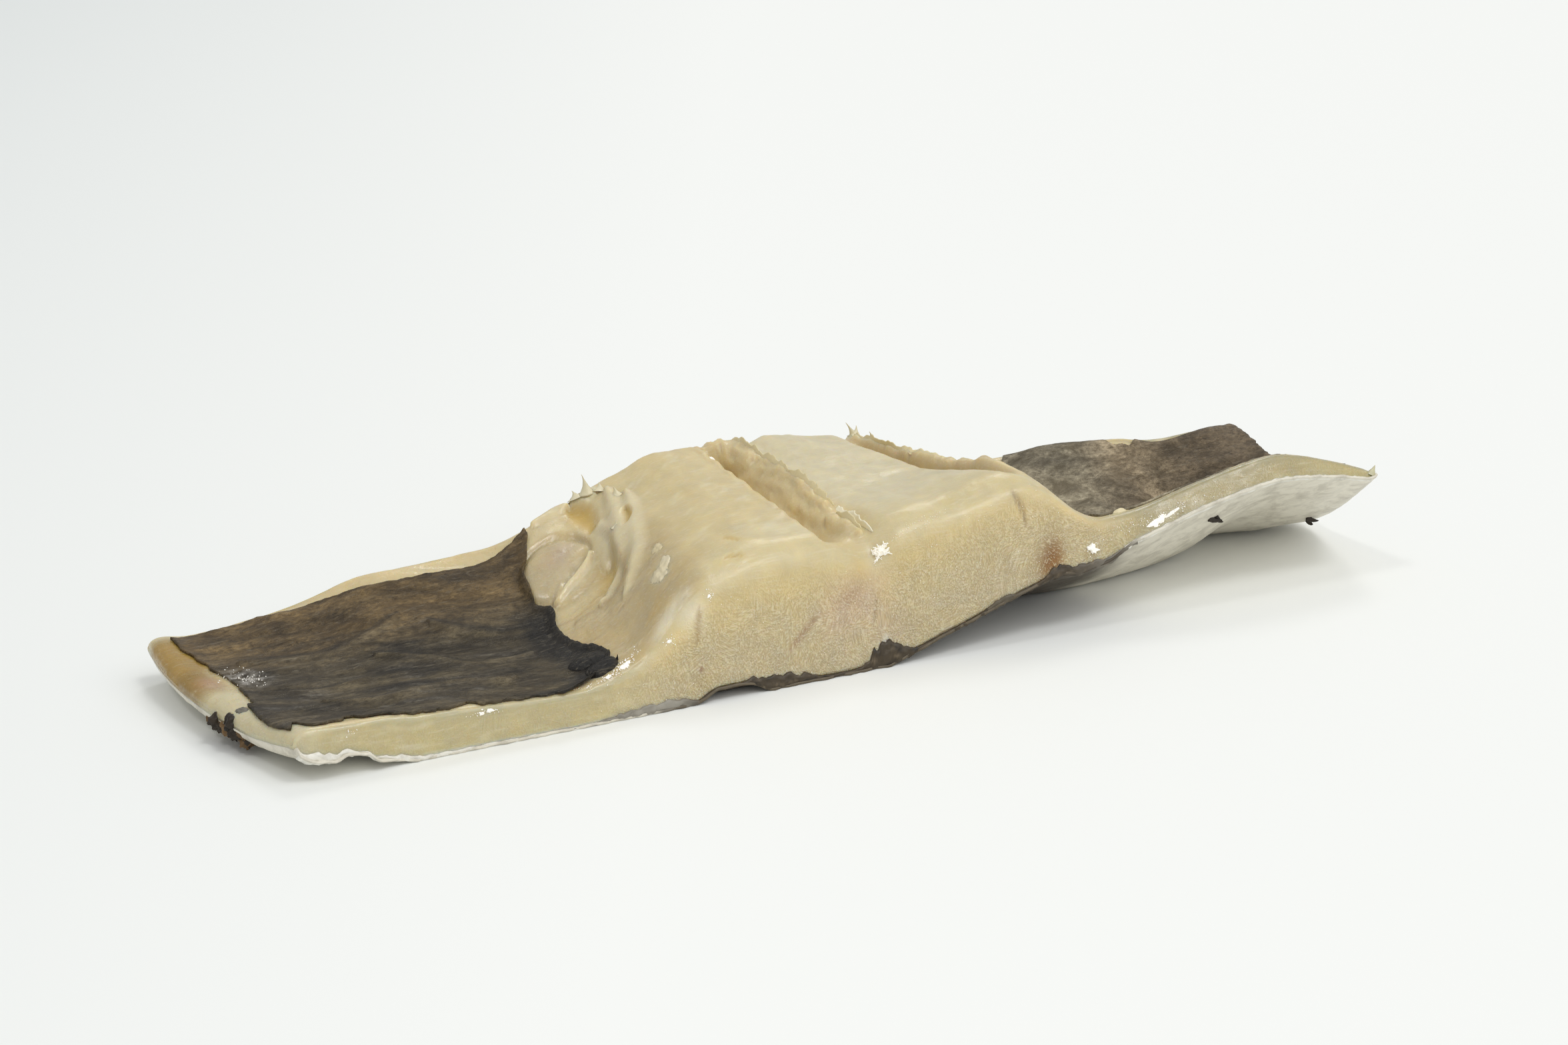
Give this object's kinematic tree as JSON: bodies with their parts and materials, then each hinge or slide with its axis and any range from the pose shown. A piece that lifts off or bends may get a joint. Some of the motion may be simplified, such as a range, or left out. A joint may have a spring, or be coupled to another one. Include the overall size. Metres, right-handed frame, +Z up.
{
  "type": "salted dried cod piece",
  "caption": "Thick band cut across a split, salted and dried cod, resting on its skin with the flesh side up, loins in the middle and thin curled belly flaps.",
  "frame": {"origin": "middle of the bounding box in plan, on the surface that the piece rests on", "axes": "+X across the fish from the flat flap to the curled flap, +Y along the fish away from the front cut, +Z up"},
  "size_m": [0.426, 0.1078, 0.0527],
  "materials": {
    "flesh": "dense translucent salted fish flesh, cream to straw yellow, slightly moist",
    "skin": "thin fish skin, grey and mottled along the back, pale on the belly, satin",
    "membrane": "thin dark grey-brown belly lining, wrinkled, satin",
    "salt": "small white salt grains"
  },
  "bodies": {
    "root": {"cod_piece": "flesh"}
  },
  "joints": []
}
